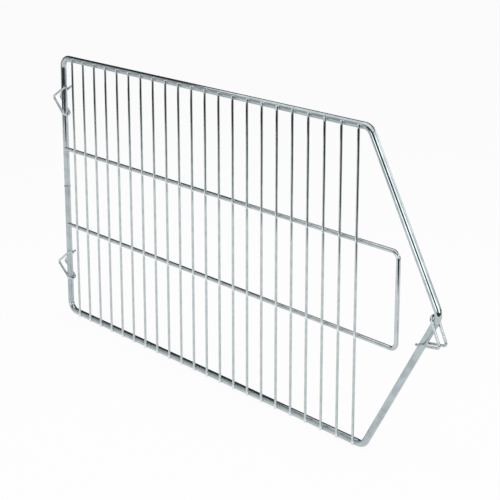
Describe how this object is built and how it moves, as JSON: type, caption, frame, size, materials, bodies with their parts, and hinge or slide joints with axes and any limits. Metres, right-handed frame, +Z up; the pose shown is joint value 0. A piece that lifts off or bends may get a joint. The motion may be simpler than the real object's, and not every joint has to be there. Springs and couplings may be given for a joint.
{
  "type": "wire divider panel",
  "caption": "Flat welded wire divider panel: bent rod frame with a sloped nose, close upright wires, a stiffener loop and forked wire hooks that hold it in a wire mesh container.",
  "frame": {"origin": "on the rear rod's axis at the level of the lower rear hook, in the middle of the rod's thickness", "axes": "+X along the panel from the rear rod to the nose, +Y through the panel away from the upright wires, +Z up"},
  "size_m": [0.6925, 0.0132, 0.358],
  "materials": {
    "zinc_plated_rod": "bright zinc plated drawn steel rod",
    "zinc_plated_wire": "bright zinc plated drawn steel wire",
    "zinc_plated_hook": "zinc plated steel wire, duller round the welds"
  },
  "bodies": {
    "root": {"frame_rod": "zinc_plated_rod", "stiffener_loop": "zinc_plated_rod", "wire_01": "zinc_plated_wire", "wire_02": "zinc_plated_wire", "wire_03": "zinc_plated_wire", "wire_04": "zinc_plated_wire", "wire_05": "zinc_plated_wire", "wire_06": "zinc_plated_wire", "wire_07": "zinc_plated_wire", "wire_08": "zinc_plated_wire", "wire_09": "zinc_plated_wire", "wire_10": "zinc_plated_wire", "wire_11": "zinc_plated_wire", "wire_12": "zinc_plated_wire", "wire_13": "zinc_plated_wire", "wire_14": "zinc_plated_wire", "wire_15": "zinc_plated_wire", "wire_16": "zinc_plated_wire", "wire_17": "zinc_plated_wire", "wire_18": "zinc_plated_wire", "wire_19": "zinc_plated_wire", "wire_20": "zinc_plated_wire", "wire_21": "zinc_plated_wire", "wire_22": "zinc_plated_wire", "hook_rear_upper": "zinc_plated_hook", "hook_rear_lower": "zinc_plated_hook", "hook_nose": "zinc_plated_hook"}
  },
  "joints": []
}
